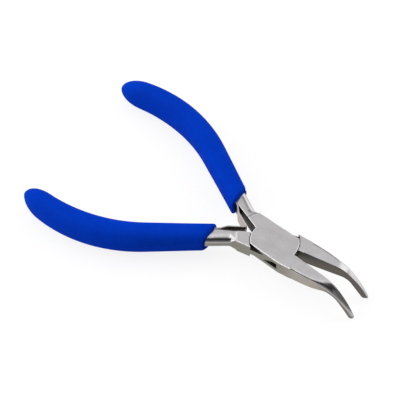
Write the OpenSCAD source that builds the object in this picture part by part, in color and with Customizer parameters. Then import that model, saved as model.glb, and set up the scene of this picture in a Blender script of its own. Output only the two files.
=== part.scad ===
// Bent-nose box-joint pliers with a V spring and dipped grips.
// Origin: on the pivot axis, at the underside of the joint. +X points to the jaws, +Z is the pivot axis.
// Each half is drawn with the jaws closed, its handle on +Y, and is then turned to the rest opening.

/* [Joint] */
// Thickness of the joint and of the jaw roots
joint_t = 6.2; // [5:0.1:8]
// Width of the joint across both sides
joint_w = 13.2; // [11.6:0.1:15.4]
// Radius of the rounded cheek ends about the pivot
cheek_r = 9; // [8:0.1:10.8]
// Thickness of the tongue inside the box
tongue_t = 2.6; // [2:0.1:3.2]
// Clearance on each face of the tongue
tongue_clear = 0.05; // [0.02:0.01:0.1]
// Gap where a cheek end turns past the other half
end_clear = 0.35; // [0.2:0.05:0.6]

/* [Pivot] */
// Diameter of the rivet
rivet_d = 4.4; // [3:0.1:5.6]
// Radial clearance of the rivet in the tongue
rivet_clear = 0.03; // [0.01:0.01:0.1]
// Diameter of the peened rivet head, flush with the cheek
head_d = 5.8; // [5.7:0.1:7]
// Depth of the peened head
head_depth = 0.7; // [0.4:0.1:1]

/* [Opening] */
// Angle between the jaws with the spring relaxed
rest_opening = 14.4; // [10:0.2:20]
// Gap between the jaw faces when closed
jaw_gap = 0.16; // [0.1:0.02:0.4]

/* [Jaws] */
// Reach of the tips from the pivot
jaw_reach = 37.6; // [30:0.2:39]
// How far the sides of the joint run on past the cheek ends
side_run = 0.8; // [0.4:0.1:1.6]
// Width of one jaw halfway to the bend
jaw_mid_w = 5.2; // [4.2:0.1:6.2]
// Width of one jaw at the bend
jaw_bend_w = 3.1; // [2.2:0.1:3.8]
// Width of one jaw at its tip
tip_w = 0.9; // [0.6:0.1:1.4]
// Where a jaw is down to its width at the bend, from the pivot
neck_x = 26.6; // [24.8:0.1:28]
// Where the underside starts to rise to the nose, from the pivot
relief_x = 14; // [12.6:0.1:17]
// Where the back of a jaw starts to come down, from the pivot
back_x = 11.6; // [10.4:0.1:14]
// How much the back comes down before the bend
back_drop = 0.6; // [0.2:0.1:1]
// Where the bend starts on the back of the nose, from the pivot
bend_x = 23.6; // [20:0.1:24.6]
// Radius of the bend on the back of the nose
bend_r = 10; // [8:0.1:12]
// Downward angle of the back where the bend eases off
bend_angle = 36; // [30:1:42]
// Radius of the back from there to the tip
nose_r = 28; // [26:0.5:40]
// How much further on the bend starts under the nose
under_lag = 2.9; // [2:0.1:3.6]
// Radius of the bend under the nose
under_r = 5; // [4:0.1:6]
// Depth of the bend under the nose, from the joint's upper face
nose_h = 5.5; // [4.4:0.1:5.6]
// Thickness of the tip
tip_t = 2.3; // [1.4:0.1:2.8]

/* [Handles] */
// How far the crotch lies behind the cheek ends
crotch_set = 0.9; // [0.6:0.1:1.4]
// Half of the gap between the tangs at the crotch, closed
crotch_gap = 0.42; // [0.3:0.02:0.6]
// Angle of a tang's inner side to the centre line, closed
tang_in_angle = 18.7; // [16:0.1:21]
// Distance from the pivot to the shoulder of the joint block
block_x = 12.3; // [11.4:0.1:14.6]
// Length of the joint block along its inner side, from the crotch
block_in_len = 4.3; // [3:0.1:6]
// How much a side of the joint closes in from the pivot to the shoulder
block_taper = 0.4; // [0:0.1:0.8]
// How far the joint block stands proud of the tang
shoulder = 0.5; // [0.4:0.1:1.2]
// Lean of the shoulder, from its corner to its foot
shoulder_lean = 0.4; // [0:0.1:0.8]
// How far the faces of a tang and of the core lie below those of the joint
core_step = 0.2; // [0:0.05:0.6]
// Width of the core in the grip
core_w = 5.2; // [4.2:0.1:5.8]
// Width that the core loses towards its end
core_taper = 1.6; // [0:0.1:2]
// How far the core sits outward of the grip's centre line
core_shift = 0.8; // [0.2:0.1:1]
// Angle of the straight part of a handle to the centre line, closed
handle_angle = 26.6; // [24:0.1:29]
// Length of the straight part, from the dip line
straight_len = 24.2; // [20:0.1:30]
// Radius of the curved part
sweep_r = 56.5; // [48:0.5:70]
// Angle of the curved part
sweep_angle = 41.9; // [34:0.1:46]
// Length of the straight tail after the curve
tail_len = 8.7; // [6:0.1:12]

/* [Grips] */
// Distance from the pivot to the dip line, at rest
dip_x = 21.2; // [19.4:0.1:23]
// Distance of a grip's centre from the centre line at the dip line, at rest
dip_y = 9.5; // [9:0.1:10]
// Width of a grip at the dip line
grip_w = 8.2; // [7.8:0.1:9.4]
// Height of a grip at the dip line
grip_h = 10.1; // [9:0.1:12]
// Extra width and height at the fullest place
grip_swell = 1.4; // [0:0.1:2]
// Length of the rounded end
grip_round = 9.5; // [6:0.5:11]
// Thickness of the coat past the end of the core
end_coat = 4.6; // [3.6:0.1:6]

/* [Spring] */
// Thickness of the spring strip
spring_t = 0.5; // [0.3:0.05:0.7]
// Height of the spring strip
spring_h = 5.8; // [4.6:0.1:6]
// Distance from the pivot to the point of the V
spring_x = 12; // [11.6:0.1:12.8]
// Radius of the point of the V, at the middle of the strip
point_r = 0.6; // [0.4:0.05:0.8]
// Angle of an arm to the centre line, at rest
arm_angle = 31; // [28:0.5:34]
// Length of the straight part of an arm
arm_len = 5.6; // [4.6:0.1:6]
// Radius where an arm flares out to its foot
flare_r = 3; // [2:0.1:4]
// Angle of an arm where it meets its foot, at rest
flare_angle = 52; // [46:0.5:58]
// Length of a foot along the core
foot_len = 8; // [5:0.5:12]
// Gap between a foot and the core
foot_clear = 0.02; // [0.01:0.01:0.04]
// Gap between a foot and the coat of its grip
coat_clear = 0.05; // [0.05:0.01:0.1]

/* [Hidden] */
$fn = 96;
half_open = rest_opening / 2;
half_w = joint_w / 2;
side_end = sqrt(cheek_r * cheek_r - half_w * half_w) + side_run;
over = 1;
far = 200;
tongue_r = cheek_r - end_clear / 2;
slot_h = tongue_t + 2 * tongue_clear;
core_h = joint_t - 2 * core_step;
core_in = core_w / 2 - core_shift;
core_out = core_w / 2 + core_shift;
path_step = 4;
bend_steps = 8;

// The dip line's centre, turned from the rest opening to closed
dip_start = turned([-dip_x, dip_y], half_open);
sweep_len = sweep_r * sweep_angle * PI / 180;
path_len = straight_len + sweep_len + tail_len;
core_len = path_len - end_coat;

function turned(p, a) = [p[0] * cos(a) - p[1] * sin(a), p[0] * sin(a) + p[1] * cos(a)];
function ahead(p, a, d) = [p[0] - d * cos(a), p[1] + d * sin(a)];
function outward(p, a, d) = [p[0] + d * sin(a), p[1] + d * cos(a)];
function reversed(list) = [for (i = [len(list) - 1 : -1 : 0]) list[i]];
// Where the line through p at angle a meets the line through q at angle b, both heading to the handle end
function meeting(p, a, q, b) =
    ahead(p, a, (q - p) * [sin(b), cos(b)] / (sin(a - b)));

// Handle centre line: straight, curved, then straight again
function path_angle(s) =
    handle_angle - sweep_angle * min(1, max(0, (s - straight_len) / sweep_len));
function path_point(s) =
    let (bend_start = ahead(dip_start, handle_angle, straight_len))
    let (bend_centre = outward(bend_start, handle_angle, -sweep_r))
    s < straight_len ? ahead(dip_start, handle_angle, s) :
    s < straight_len + sweep_len ? outward(bend_centre, path_angle(s), sweep_r) :
    ahead(outward(bend_centre, path_angle(s), sweep_r), path_angle(s), s - straight_len - sweep_len);
function path_side(s, d) = outward(path_point(s), path_angle(s), d);

// Core edges along the handle, narrowing to the tail
function core_loss(s) = core_taper / 2 * min(1, max(0, s / core_len));
function core_inner(s) = path_side(s, core_loss(s) - core_in);
function core_outer(s) = path_side(s, core_out - core_loss(s));
core_in_angle = handle_angle - atan2(core_loss(straight_len), straight_len);
core_steps = ceil(core_len / path_step);
core_stations = [for (i = [0 : core_steps]) core_len * i / core_steps];

// Tang: from the crotch and the shoulder's foot to the core at the dip line
crotch = [-cheek_r - crotch_set, crotch_gap];
crotch_root = ahead(crotch, tang_in_angle, -crotch_set - over);
tang_in_end = meeting(crotch, tang_in_angle, core_inner(0), core_in_angle);
block_corner = [-block_x, half_w - block_taper];
tang_out_start = block_corner - [shoulder_lean, shoulder];
block_in = ahead(crotch, tang_in_angle, block_in_len);

module joint_disc(r) {
    intersection() {
        circle(r);
        square([2 * far, joint_w], center = true);
    }
}

// The half's thick block, from the joint to the shoulder, seen from above
module block_plan() {
    polygon([
        crotch_root,
        crotch,
        block_in,
        tang_out_start,
        block_corner,
        [-side_end, half_w],
        [0, half_w],
        [0, 0]
    ]);
}

// The tang and the core inside the grip, seen from above
module core_plan() {
    inner = [for (s = core_stations) if (core_inner(s)[0] < tang_in_end[0]) core_inner(s)];
    outer = [for (s = core_stations) core_outer(s)];
    polygon(concat([crotch, tang_in_end], inner, reversed(outer), [tang_out_start, [-cheek_r, half_w / 2]]));
}

// One jaw seen from above, its gripping face along the centre line
module jaw_plan() {
    mid_x = (cheek_r + bend_x) / 2;
    polygon([
        [0, -jaw_gap / 2],
        [jaw_reach + over, -jaw_gap / 2],
        [jaw_reach + over, -tip_w],
        [neck_x, -jaw_bend_w],
        [mid_x, -jaw_mid_w],
        [side_end, -half_w],
        [0, -half_w]
    ]);
}

// Way along an arc of radius 1 that turns down from angle a to angle b, seen from the side
function fall(a, b) = [sin(b) - sin(a), cos(b) - cos(a)];

// The jaws seen from the side: coming down a little to the bend, then drooping to the tips.
// The underside runs from its own bend straight to the tip's lower edge.
module jaw_side() {
    top = joint_t / 2;
    back_angle = atan2(back_drop, bend_x - back_x);
    bend_start = [bend_x, top - back_drop];
    bend_end = bend_start + bend_r * fall(back_angle, bend_angle);
    tip_angle = asin(sin(bend_angle) + (jaw_reach - bend_end[0]) / nose_r);
    tip_back = bend_end + nose_r * fall(bend_angle, tip_angle);
    tip_under = tip_back - tip_t * [sin(tip_angle), cos(tip_angle)];
    under_centre = [bend_x + under_lag, top - nose_h - under_r];
    to_tip = tip_under - under_centre;
    under_angle = atan2(to_tip[0], to_tip[1]) - acos(under_r / norm(to_tip));
    polygon(concat(
        [[0, -top], [0, top], [back_x, top]],
        [
            for (i = [0 : bend_steps])
                bend_start + bend_r * fall(back_angle, back_angle + (bend_angle - back_angle) * i / bend_steps)
        ],
        [
            for (i = [1 : bend_steps])
                bend_end + nose_r * fall(bend_angle, bend_angle + (tip_angle - bend_angle) * i / bend_steps)
        ],
        [tip_under],
        [
            for (i = [bend_steps : -1 : 0])
                let (a = under_angle * i / bend_steps)
                under_centre + under_r * [sin(a), cos(a)]
        ],
        [[relief_x, -top]]
    ));
}

module jaw() {
    intersection() {
        translate([0, 0, -far / 2])
            linear_extrude(far)
                jaw_plan();
        rotate([90, 0, 0])
            linear_extrude(far, center = true)
                jaw_side();
    }
}

// What both halves share, with a disc of the given radius at the pivot
module half_blank(disc_r) {
    linear_extrude(joint_t, center = true) {
        joint_disc(disc_r);
        block_plan();
    }
    linear_extrude(core_h, center = true)
        core_plan();
    jaw();
}

module closed_box_half() {
    difference() {
        half_blank(cheek_r);
        cylinder(r = tongue_r + end_clear, h = slot_h, center = true);
        cylinder(d = rivet_d, h = joint_t + over, center = true);
        for (side = [0, 180])
            rotate([side, 0, 0])
                translate([0, 0, joint_t / 2 - head_depth])
                    cylinder(d1 = rivet_d, d2 = head_d, h = head_depth);
    }
}

module closed_tongue_half() {
    difference() {
        mirror([0, 1, 0])
            half_blank(tongue_r);
        for (side = [0, 180])
            rotate([side, 0, 0])
                translate([0, 0, tongue_t / 2])
                    cylinder(r = cheek_r + end_clear, h = joint_t);
        cylinder(r = rivet_d / 2 + rivet_clear, h = joint_t, center = true);
    }
}

// Turns a half from closed to its rest opening and sets the joint on its underside
module at_rest(turn) {
    translate([0, 0, joint_t / 2])
        rotate([0, 0, turn])
            children();
}

// A grip's outline ring at station s: a soft rectangle of the width and height there.
// The first ring lies ahead of the dip line, where the grip is cut square to the centre line.
grip_sides = 28;
grip_rings = 30;
squareness = 0.72;
grip_start = -grip_w;
fullness_power = 1.34;
function grip_fullness(s) = sin(180 * pow(min(1, max(0, s / path_len)), fullness_power));
function end_share(s) = sqrt(max(0, 1 - pow(max(0, (s - path_len + grip_round) / grip_round), 2)));
function grip_half_w(s) = (grip_w + grip_swell * grip_fullness(s)) / 2 * end_share(s);
function grip_half_h(s) = (grip_h + grip_swell * grip_fullness(s)) / 2 * end_share(s);
function soft(v) = sign(v) * pow(abs(v), squareness);
function grip_ring(s) = [
    for (i = [0 : grip_sides - 1])
        let (a = 360 * i / grip_sides)
        let (p = path_side(s, grip_half_w(s) * soft(cos(a))))
        [p[0], p[1], grip_half_h(s) * soft(sin(a))]
];
// Stations crowd together towards the rounded end
end_trim = 0.06;
grip_last = path_len - end_trim;
grip_stations = [
    for (i = [0 : grip_rings])
        grip_start + (grip_last - grip_start) * sin(90 * i / grip_rings)
];

module grip_outside() {
    points = [for (s = grip_stations) each grip_ring(s)];
    last = grip_rings * grip_sides;
    polyhedron(
        points = points,
        faces = concat(
            [[for (i = [grip_sides - 1 : -1 : 0]) i]],
            [[for (i = [0 : grip_sides - 1]) last + i]],
            [
                for (r = [0 : grip_rings - 1], i = [0 : grip_sides - 1])
                    let (j = (i + 1) % grip_sides)
                    each [
                        [r * grip_sides + i, (r + 1) * grip_sides + j, (r + 1) * grip_sides + i],
                        [r * grip_sides + i, r * grip_sides + j, (r + 1) * grip_sides + j]
                    ]
            ]
        )
    );
}

module closed_grip() {
    difference() {
        grip_outside();
        rotate([0, 0, half_open])
            translate([-dip_x, -far / 2, -far / 2])
                cube(far);
        linear_extrude(core_h, center = true)
            core_plan();
        rotate([0, 0, half_open])
            spring_strip(spring_t + 2 * coat_clear, spring_h + 2 * coat_clear);
    }
}

// Spring: middle line of one arm, from the point of the V to the end of its foot, as [point, angle]
point_centre = [-spring_x - point_r - spring_t / 2, 0];
flare_start = ahead(outward(point_centre, arm_angle, point_r), arm_angle, arm_len);
flare_centre = outward(flare_start, arm_angle, flare_r);
flare_end = outward(flare_centre, flare_angle, -flare_r);
foot_angle = core_in_angle + half_open;
foot_line = outward(turned(core_inner(0), -half_open), foot_angle, -spring_t / 2 - foot_clear);
foot_start = meeting(flare_end, flare_angle, foot_line, foot_angle);
arm_line = concat(
    [
        for (i = [0 : bend_steps])
            let (a = 90 + (arm_angle - 90) * i / bend_steps)
            [outward(point_centre, a, point_r), a]
    ],
    [
        for (i = [0 : bend_steps])
            let (a = arm_angle + (flare_angle - arm_angle) * i / bend_steps)
            [outward(flare_centre, a, -flare_r), a]
    ],
    [[foot_start, (flare_angle + foot_angle) / 2]],
    [[ahead(foot_start, foot_angle, foot_len), foot_angle]]
);
function arm_side(d) = [for (p = arm_line) outward(p[0], p[1], d)];
function flipped(list) = [for (i = [len(list) - 1 : -1 : 1]) [list[i][0], -list[i][1]]];

// One strip: out along the outside of both arms, back along the inside
module spring_strip(thickness, height) {
    outside = arm_side(thickness / 2);
    inside = arm_side(-thickness / 2);
    linear_extrude(height, center = true)
        polygon(concat(flipped(outside), outside, reversed(concat(flipped(inside), inside))));
}

module box_half() {
    color("#b6b4b6")
        at_rest(-half_open)
            closed_box_half();
}

module tongue_half() {
    color("#b6b4b6")
        at_rest(half_open)
            closed_tongue_half();
}

module pivot_rivet() {
    color("#b6b4b6")
        at_rest(-half_open) {
            cylinder(d = rivet_d, h = joint_t - 2 * head_depth, center = true);
            for (side = [0, 180])
                rotate([side, 0, 0])
                    translate([0, 0, joint_t / 2 - head_depth])
                        cylinder(d1 = rivet_d, d2 = head_d, h = head_depth);
        }
}

module v_spring() {
    color("#a8a29e")
        at_rest(0)
            spring_strip(spring_t, spring_h);
}

module box_half_grip() {
    color("#02309e")
        at_rest(-half_open)
            closed_grip();
}

module tongue_half_grip() {
    color("#02309e")
        at_rest(half_open)
            mirror([0, 1, 0])
                closed_grip();
}

box_half();
tongue_half();
pivot_rivet();
v_spring();
box_half_grip();
tongue_half_grip();
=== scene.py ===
"""Bent-nose box-joint pliers with a V spring and dipped grips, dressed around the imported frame."""

import logging
import math
from collections.abc import Sequence
from dataclasses import dataclass
from enum import Enum

import bmesh
import bpy
from bmesh.types import BMesh, BMFace, BMVert
from bpy.types import Material, Node, NodeSocket, NodeTree, Object
from mathutils import Matrix, Vector


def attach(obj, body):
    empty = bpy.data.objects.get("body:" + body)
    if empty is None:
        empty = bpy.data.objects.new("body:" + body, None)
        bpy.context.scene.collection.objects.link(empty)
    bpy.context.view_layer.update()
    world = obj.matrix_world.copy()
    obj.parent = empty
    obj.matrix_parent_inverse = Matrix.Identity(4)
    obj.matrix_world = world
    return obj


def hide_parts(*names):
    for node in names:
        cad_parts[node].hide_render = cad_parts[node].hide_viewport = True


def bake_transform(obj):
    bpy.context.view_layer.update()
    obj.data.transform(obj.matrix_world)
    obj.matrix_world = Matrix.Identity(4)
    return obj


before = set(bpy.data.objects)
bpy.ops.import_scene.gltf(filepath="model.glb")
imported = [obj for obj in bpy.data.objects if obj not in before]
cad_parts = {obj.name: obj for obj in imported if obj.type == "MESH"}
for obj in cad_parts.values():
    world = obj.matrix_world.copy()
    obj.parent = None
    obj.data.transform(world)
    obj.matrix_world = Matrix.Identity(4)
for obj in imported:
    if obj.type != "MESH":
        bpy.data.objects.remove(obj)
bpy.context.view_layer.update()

MM = 0.001
# A forged half's slot for its broken edges, after that for its flats; the edges carry a painted
# highlight as well as their polish.
EDGE_SLOT = 1
# Edges past this angle in degrees stay sharp.
CREASE = 30.0
# Points closer than this in millimetres are one.
WELD = 1e-4
# Heights closer than this in millimetres are level.
LEVEL = 1e-6
# The cosine past which two directions count as one.
ALIGNED = 0.99
Pair = Sequence[float]
Ring = list[Vector]
Colour = tuple[float, float, float, float]
log = logging.getLogger("pliers")


class Half(Enum):
    """The two forged halves: the body each rides on, and its turn from closed to rest."""

    BOX = ("box_half", "box_side", -1.0)
    TONGUE = ("tongue_half", "tongue_side", 1.0)

    def __init__(self, node: str, body: str, turn: float) -> None:
        """Keep the names and the sign of the turn.

        Args:
            node: the forged half's node.
            body: the body that the half rides on.
            turn: the sign of the turn from closed to rest, which is also the mirror's sign reversed.
        """
        self.node = node
        self.body = body
        self.turn = turn


class Slot(Enum):
    """The record's material slots."""

    STEEL = "tool_steel"
    SPRING = "spring_steel"
    VINYL = "blue_vinyl"


# Plane geometry


def turned(point: Vector, degrees: float) -> Vector:
    """Return a plane point turned about the pivot."""
    return Matrix.Rotation(math.radians(degrees), 2) @ point


def unit(angle: float) -> Vector:
    """Return the unit vector at an angle in radians from +Y towards +X."""
    return Vector((math.sin(angle), math.cos(angle)))


def ahead(point: Vector, degrees: float, length: float) -> Vector:
    """Return the point that lies a length towards the handle end, at an angle to the centre line."""
    return point + length * unit(math.radians(degrees - 90))


def outward(point: Vector, degrees: float, length: float) -> Vector:
    """Return the point a length to the outer side of a line at that angle."""
    return point + length * unit(math.radians(degrees))


def meeting(first: Vector, first_degrees: float, second: Vector, second_degrees: float) -> Vector:
    """Return where two lines that head to the handle end meet.

    Args:
        first: a point on the first line.
        first_degrees: the first line's angle to the centre line.
        second: a point on the second line.
        second_degrees: the second line's angle.

    Returns:
        The meeting point.
    """
    gap = (second - first).dot(unit(math.radians(second_degrees)))
    return ahead(first, first_degrees, gap / math.sin(math.radians(first_degrees - second_degrees)))


def arc(centre: Vector, radius: float, start: float, end: float, steps: int) -> Ring:
    """Return points on an arc from one angle in degrees to another, ends included."""
    angles = [math.radians(start + (end - start) * i / steps) for i in range(steps + 1)]
    return [centre + radius * Vector((math.cos(angle), math.sin(angle))) for angle in angles]


def clamp(value: float) -> float:
    """Return a value held between 0 and 1."""
    return min(1.0, max(0.0, value))


def ease(value: float, low: float, high: float) -> float:
    """Return 0 below low and 1 above high, with a soft ramp between."""
    share = clamp((value - low) / (high - low))
    return share * share * (3 - 2 * share)


def steps_of(count: int) -> list[float]:
    """Return the ends of equal steps from 0 to 1, without 0."""
    return [i / count for i in range(1, count + 1)]


def rounded_ring(width: float, height: float, radii: Sequence[Pair], steps: int) -> Ring:
    """Return a rectangle's outline with a quarter of an ellipse at each corner.

    Args:
        width: from the inner side, at 0, to the outer side.
        height: from the under side, at 0, to the back.
        radii: each rounding's reach across and up, at the inner back, outer back, outer under
            and inner under corners.
        steps: the steps in each corner.

    Returns:
        The points, round from the inner side's back end.
    """
    ring: Ring = []
    places = ((0, 1, 180), (1, 1, 90), (1, 0, 0), (0, 0, -90))
    for (right, top, start), (across, up) in zip(places, radii):
        centre = Vector((width - across if right else across, height - up if top else up))
        for point in arc(Vector((0.0, 0.0)), 1.0, start, start - 90, steps):
            ring.append(centre + Vector((point[0] * across, point[1] * up)))
    return ring


# Mesh helpers


def matched(face: BMFace, ring: Ring) -> list[int]:
    """Pair a face's corners with the points of a ring of as many points.

    Args:
        face: the face to pull from.
        ring: the ring that lies closest to it.

    Returns:
        For each corner, the index of its point.
    """
    corners = [vert.co for vert in face.verts]
    count = len(corners)
    if count != len(ring):
        raise ValueError(f"the face has {count} corners and the ring {len(ring)} points")
    orders = [
        [(start + way * i) % count for i in range(count)] for start in range(count) for way in (1, -1)
    ]

    def apart(order: list[int]) -> float:
        """Return how far the corners lie from their points, squared and summed up."""
        return sum((corner - ring[i]).length_squared for corner, i in zip(corners, order))

    return min(orders, key=apart)


def pull(bm: BMesh, face: BMFace, rings: Sequence[Ring]) -> BMFace:
    """Extrude a face from ring to ring.

    Args:
        bm: the mesh.
        face: the face to pull, which is used up.
        rings: the rings that it goes through, the first of them closest to the face.

    Returns:
        The face at the last ring.
    """
    order = matched(face, rings[0])
    for ring in rings:
        face = bmesh.ops.extrude_discrete_faces(bm, faces=[face])["faces"][0]
        for vert, i in zip(face.verts, order):
            vert.co = ring[i]
    return face


def tube(rings: Sequence[Ring]) -> BMesh:
    """Return a closed mesh that runs through the rings.

    Args:
        rings: rings of equally many points.

    Returns:
        The mesh, its ends closed.
    """
    bm = bmesh.new()
    count = len(rings[0])
    made = bmesh.ops.create_circle(bm, cap_ends=True, segments=count, radius=1.0)
    for vert, point in zip(made["verts"], rings[0]):
        vert.co = point
    first = next(iter(bm.faces))
    # The closing face stays behind when a copy of it is pulled away.
    bmesh.ops.duplicate(bm, geom=[first])
    pull(bm, first, rings[1:])
    bmesh.ops.remove_doubles(bm, verts=bm.verts, dist=WELD)
    bmesh.ops.recalc_face_normals(bm, faces=bm.faces)
    return bm


def linked(bm: BMesh, name: str) -> Object:
    """Make a mesh an object in the scene.

    Args:
        bm: the mesh, which is freed.
        name: the object's name.

    Returns:
        The object.
    """
    mesh = bpy.data.meshes.new(name)
    bm.to_mesh(mesh)
    bm.free()
    obj = bpy.data.objects.new(name, mesh)
    bpy.context.scene.collection.objects.link(obj)
    return obj


def piece(bm: BMesh, name: str, crease: float = CREASE) -> Object:
    """Turn a mesh in millimetres to an object in the frame, smooth up to an angle.

    Args:
        bm: the mesh, which is freed.
        name: the piece's name.
        crease: the angle in degrees past which an edge stays sharp.

    Returns:
        The object, at the origin.
    """
    bmesh.ops.scale(bm, vec=Vector((MM, MM, MM)), verts=bm.verts)
    obj = linked(bm, name)
    smooth(obj, crease)
    return obj


def smooth(obj: Object, crease: float = CREASE) -> None:
    """Shade an object smooth, with edges past the angle kept sharp."""
    obj.data.shade_smooth()
    obj.data.set_sharp_from_angle(angle=math.radians(crease))


def carve(
    obj: Object, cutters: Sequence[Object], outside: Sequence[Material], inside: Material
) -> None:
    """Cut solids away from an object and remove them.

    Args:
        obj: the object to cut.
        cutters: the solids.
        outside: the object's materials.
        inside: the material of the faces that the cuts leave, which here is dark for painted shade.
    """
    for material in outside:
        obj.data.materials.append(material)
    for cutter in cutters:
        cutter.data.materials.append(inside)
        cut = obj.modifiers.new("cut", "BOOLEAN")
        cut.operation = "DIFFERENCE"
        cut.solver = "EXACT"
        cut.material_mode = "TRANSFER"
        cut.object = cutter
    bpy.context.view_layer.update()
    graph = bpy.context.evaluated_depsgraph_get()
    whole = bpy.data.meshes.new_from_object(obj.evaluated_get(graph))
    whole.name = obj.name
    obj.modifiers.clear()
    obj.data = whole
    for cutter in cutters:
        bpy.data.objects.remove(cutter)


def drum(name: str, radii: Pair, low: float, high: float, segments: int = 160) -> Object:
    """Return a turned cutter on the pivot axis.

    Args:
        name: its name.
        radii: its radius at the low and the high end.
        low: the low end's height, from the middle of the joint.
        high: the high end's height.
        segments: the segments round it.

    Returns:
        The cutter, closed at both ends.
    """
    bm = bmesh.new()
    bmesh.ops.create_cone(
        bm, cap_ends=True, segments=segments, radius1=radii[0], radius2=radii[1], depth=high - low,
        matrix=Matrix.Translation((0, 0, (low + high) / 2)),
    )
    return piece(bm, name)


# Sizes


@dataclass(frozen=True)
class JointSizes:
    """Sizes of the box joint, in millimetres and degrees."""

    thickness: float = 6.2
    width: float = 13.2
    cheek_r: float = 9.0
    tongue_t: float = 2.6
    tongue_clear: float = 0.05
    end_clear: float = 0.24
    rivet_d: float = 4.4
    rivet_clear: float = 0.03
    head_d: float = 5.8
    head_depth: float = 0.7
    rivet_seam: float = 0.012
    rest_opening: float = 14.4
    edge_r: float = 0.38

    @property
    def half_open(self) -> float:
        """The turn of one half from closed to rest."""
        return self.rest_opening / 2

    @property
    def half_w(self) -> float:
        """Half of the joint's width."""
        return self.width / 2

    @property
    def half_t(self) -> float:
        """Half of the joint's thickness."""
        return self.thickness / 2

    @property
    def tongue_r(self) -> float:
        """Radius of the tongue's round ends."""
        return self.cheek_r - self.end_clear / 2

    @property
    def side_x(self) -> float:
        """Where the joint's straight sides meet its round ends."""
        return math.sqrt(self.cheek_r**2 - self.half_w**2)


@dataclass(frozen=True)
class JawSizes:
    """Sizes of one jaw, in millimetres and degrees."""

    gap: float = 0.16
    reach: float = 37.6
    side_run: float = 0.8
    root_x: float = 11.6
    mid_w: float = 5.2
    bend_w: float = 3.1
    tip_w: float = 0.9
    neck_x: float = 26.6
    relief_x: float = 14.0
    back_drop: float = 0.6
    bend_x: float = 23.6
    bend_r: float = 10.0
    bend_angle: float = 36.0
    nose_r: float = 28.0
    under_lag: float = 2.9
    under_r: float = 5.0
    nose_h: float = 5.5
    tip_t: float = 2.3
    tip_round: float = 1.3
    # The tip's last rings shrink by the cosine of a growing angle, down to a share.
    tip_rings: int = 6
    tip_step: float = 17.0
    tip_left: float = 0.2
    # The outer back is a soft edge along the straight stretch: its reach across and up.
    soft_across: float = 1.0
    soft_up: float = 0.7
    soft_to: float = 13.0
    # It grows to nearly half round at the bend: shares of the width and height.
    round_across: float = 0.96
    round_up: float = 0.46
    round_from: float = 20.0
    round_to: float = 27.0
    inner_share: float = 0.03
    # The outline's corners are blended, and it is drawn on past its ends for that.
    blend: float = 2.0
    blend_steps: int = 8
    tip_past: float = 1.0
    lead: float = 8.0
    straight_rings: int = 18
    nose_rings: int = 40


# The tongue half's jaw has a harder back, as its reflections show.
HARD_BACK = JawSizes(soft_up=0.4, round_across=0.46, round_up=0.24)


@dataclass(frozen=True)
class HandleSizes:
    """Sizes of a tang and its core, in millimetres and degrees."""

    crotch_set: float = 0.9
    crotch_gap: float = 0.42
    tang_in_angle: float = 18.7
    block_x: float = 12.3
    block_in_len: float = 4.3
    block_taper: float = 0.4
    block_round: float = 0.3
    shoulder: float = 0.5
    shoulder_lean: float = 0.4
    cove_len: float = 2.0
    round_len: float = 2.8
    core_step: float = 0.3
    # The tang's outer corners: their radius, its stretch across and its limits in the section.
    tang_round: float = 2.5
    round_stretch: float = 1.4
    most_across: float = 0.8
    most_up: float = 0.48
    cove_rings: int = 20
    tang_rings: int = 12
    core_rings: int = 18
    core_w: float = 5.2
    core_taper: float = 1.6
    core_shift: float = 0.8
    handle_angle: float = 26.6
    straight_len: float = 24.2
    sweep_r: float = 56.5
    sweep_angle: float = 41.9
    tail_len: float = 8.7
    dip_x: float = 21.2
    dip_y: float = 9.5
    end_coat: float = 4.6


@dataclass(frozen=True)
class HandlePath:
    """The closed handle's centre line: straight, curved, then straight again."""

    sizes: HandleSizes
    half_open: float

    @property
    def start(self) -> Vector:
        """The dip line's centre, turned from rest to closed."""
        return turned(Vector((-self.sizes.dip_x, self.sizes.dip_y)), self.half_open)

    @property
    def sweep_len(self) -> float:
        """Length of the curved part."""
        return self.sizes.sweep_r * math.radians(self.sizes.sweep_angle)

    @property
    def length(self) -> float:
        """Length from the dip line to the end of the grip."""
        return self.sizes.straight_len + self.sweep_len + self.sizes.tail_len

    @property
    def core_len(self) -> float:
        """Length of the core past the dip line."""
        return self.length - self.sizes.end_coat

    def angle(self, run: float) -> float:
        """Return the angle to the centre line at a distance past the dip line."""
        share = clamp((run - self.sizes.straight_len) / self.sweep_len)
        return self.sizes.handle_angle - self.sizes.sweep_angle * share

    def point(self, run: float) -> Vector:
        """Find a point of the centre line.

        Args:
            run: the distance past the dip line.

        Returns:
            The point, with the jaws closed.
        """
        sizes = self.sizes
        if run < sizes.straight_len:
            return ahead(self.start, sizes.handle_angle, run)
        bend_start = ahead(self.start, sizes.handle_angle, sizes.straight_len)
        centre = outward(bend_start, sizes.handle_angle, -sizes.sweep_r)
        place = outward(centre, self.angle(run), sizes.sweep_r)
        return ahead(place, self.angle(run), max(0.0, run - sizes.straight_len - self.sweep_len))

    def side(self, run: float, distance: float) -> Vector:
        """Return the point a distance to the outer side of the centre line."""
        return outward(self.point(run), self.angle(run), distance)

    def core_loss(self, run: float) -> float:
        """Return what the core has lost on each side, a distance past the dip line."""
        return self.sizes.core_taper / 2 * clamp(run / self.core_len)

    def core_inner(self, run: float) -> Vector:
        """Return the core's inner edge, a distance past the dip line."""
        return self.side(run, self.core_loss(run) - self.sizes.core_w / 2 + self.sizes.core_shift)

    def core_outer(self, run: float) -> Vector:
        """Return the core's outer edge, a distance past the dip line."""
        return self.side(run, self.sizes.core_w / 2 + self.sizes.core_shift - self.core_loss(run))

    @property
    def core_in_angle(self) -> float:
        """Angle of the core's inner edge to the centre line, along the straight part."""
        straight = self.sizes.straight_len
        return self.sizes.handle_angle - math.degrees(math.atan2(self.core_loss(straight), straight))


# Finishes


class Blend(Enum):
    """How one colour is laid over another."""

    COVER = "MIX"
    LIGHTEN = "LIGHTEN"


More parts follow.
